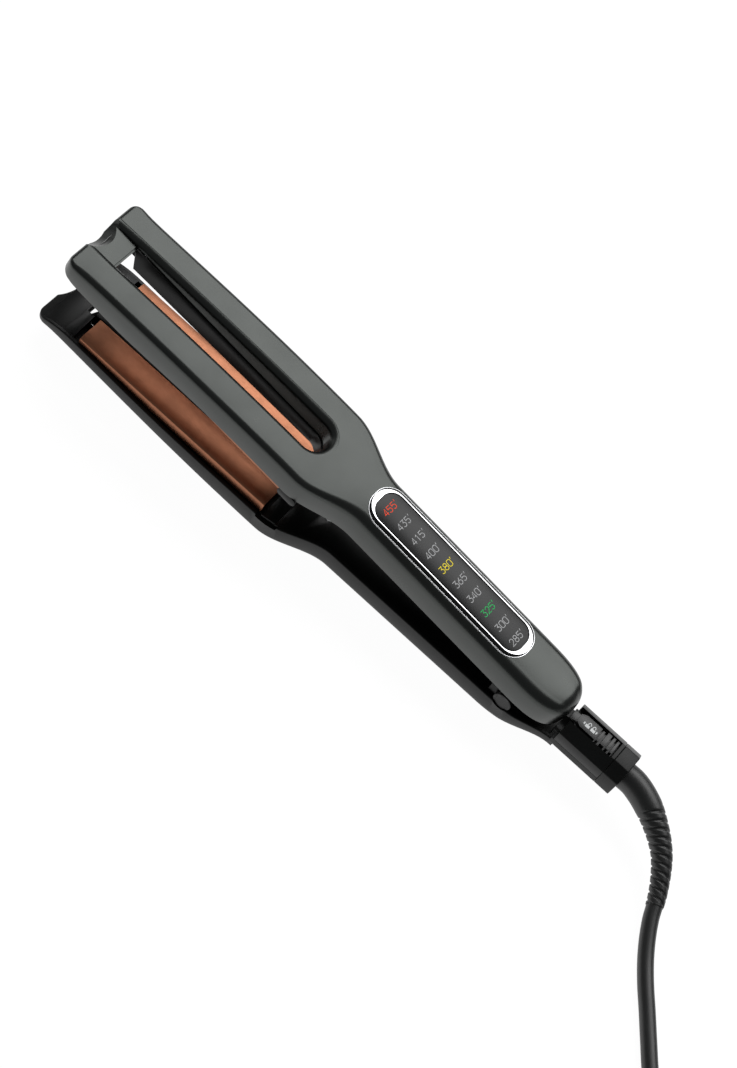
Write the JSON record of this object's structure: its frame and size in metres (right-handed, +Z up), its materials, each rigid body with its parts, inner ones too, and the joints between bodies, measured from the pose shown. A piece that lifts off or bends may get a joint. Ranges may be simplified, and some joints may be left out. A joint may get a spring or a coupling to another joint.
{
  "type": "hair iron",
  "caption": "Hair iron with two floating copper plates in each slotted jaw, a spring hinge, a temperature display in the handle, a lock slider and a swivel cord with plug.",
  "frame": {"origin": "under the middle of the iron's length without its cord, on the surface that the iron lies on", "axes": "+X from the jaws' tip towards the tail and the cord, +Z up from the flat underside of the lower arm, +Y to the side away from the spare cord"},
  "size_m": [0.5398, 0.1657, 0.0569],
  "materials": {
    "housing": "satin charcoal, moulded",
    "inner_plastic": "satin black, moulded",
    "plate_metal": "smooth copper-coloured coating",
    "ceramic": "unglazed ceramic",
    "cushion_rubber": "matt silicone",
    "steel": "turned",
    "spring_steel": "drawn wire",
    "chrome": "bright plated",
    "screen": "gloss black with printed figures",
    "board": "green circuit board",
    "cord_rubber": "satin black",
    "brass": "plain"
  },
  "bodies": {
    "lower_arm": {"lower_housing": "housing", "lower_plate_frame": "inner_plastic", "lower_handle_cover": "inner_plastic", "lower_near_cushions": "cushion_rubber", "lower_far_cushions": "cushion_rubber", "hinge_pin": "steel", "hinge_caps": "inner_plastic", "opening_spring": "spring_steel", "power_board": "board", "lower_screws": "steel", "tail_shell": "housing", "tail_end_ring": "housing"},
    "upper_arm": {"upper_housing": "housing", "upper_plate_frame": "inner_plastic", "upper_handle_cover": "inner_plastic", "upper_near_cushions": "cushion_rubber", "upper_far_cushions": "cushion_rubber", "display_bezel": "chrome", "display_window": "screen", "display_board": "board", "upper_screws": "steel"},
    "lower_near_plates": {"lower_near_plate": "plate_metal", "lower_near_heater": "ceramic"},
    "lower_far_plates": {"lower_far_plate": "plate_metal", "lower_far_heater": "ceramic"},
    "upper_near_plates": {"upper_near_plate": "plate_metal", "upper_near_heater": "ceramic"},
    "upper_far_plates": {"upper_far_plate": "plate_metal", "upper_far_heater": "ceramic"},
    "lock": {"lock_slider": "inner_plastic"},
    "cord": {"swivel_bush": "inner_plastic", "strain_relief": "cord_rubber", "cord_lead": "cord_rubber", "cord_coil": "cord_rubber", "cord_tie": "cord_rubber", "plug_body": "cord_rubber", "plug_blades": "brass"}
  },
  "joints": [
    {"name": "jaw_hinge", "type": "hinge", "parent": "lower_arm", "child": "upper_arm", "pos_m": [0.09765, 0, 0.017], "axis": [0, -1, 0], "range_deg": [0, 6.5], "stiffness_Nm_per_rad": 1.5, "springref_deg": -14.32, "deforming": ["opening_spring"]},
    {"name": "lower_near_plate_slide", "type": "slide", "parent": "lower_arm", "child": "lower_near_plates", "axis": [0, 0, -1], "range_m": [0, 0.001], "stiffness_N_per_m": 3000, "springref_m": -0.0005, "deforming": ["lower_near_cushions"]},
    {"name": "lower_far_plate_slide", "type": "slide", "parent": "lower_arm", "child": "lower_far_plates", "axis": [0, 0, -1], "range_m": [0, 0.001], "stiffness_N_per_m": 3000, "springref_m": -0.0005, "deforming": ["lower_far_cushions"]},
    {"name": "upper_near_plate_slide", "type": "slide", "parent": "upper_arm", "child": "upper_near_plates", "axis": [0.1132, 0, 0.9936], "range_m": [0, 0.001], "stiffness_N_per_m": 3000, "springref_m": -0.0005, "deforming": ["upper_near_cushions"]},
    {"name": "upper_far_plate_slide", "type": "slide", "parent": "upper_arm", "child": "upper_far_plates", "axis": [0.1132, 0, 0.9936], "range_m": [0, 0.001], "stiffness_N_per_m": 3000, "springref_m": -0.0005, "deforming": ["upper_far_cushions"]},
    {"name": "lock_slide", "type": "slide", "parent": "lower_arm", "child": "lock", "axis": [-1, 0, 0], "range_m": [0, 0.004]},
    {"name": "cord_swivel", "type": "hinge", "parent": "lower_arm", "child": "cord", "pos_m": [0.15, 0, 0.017], "axis": [1, 0, 0], "continuous": true}
  ]
}
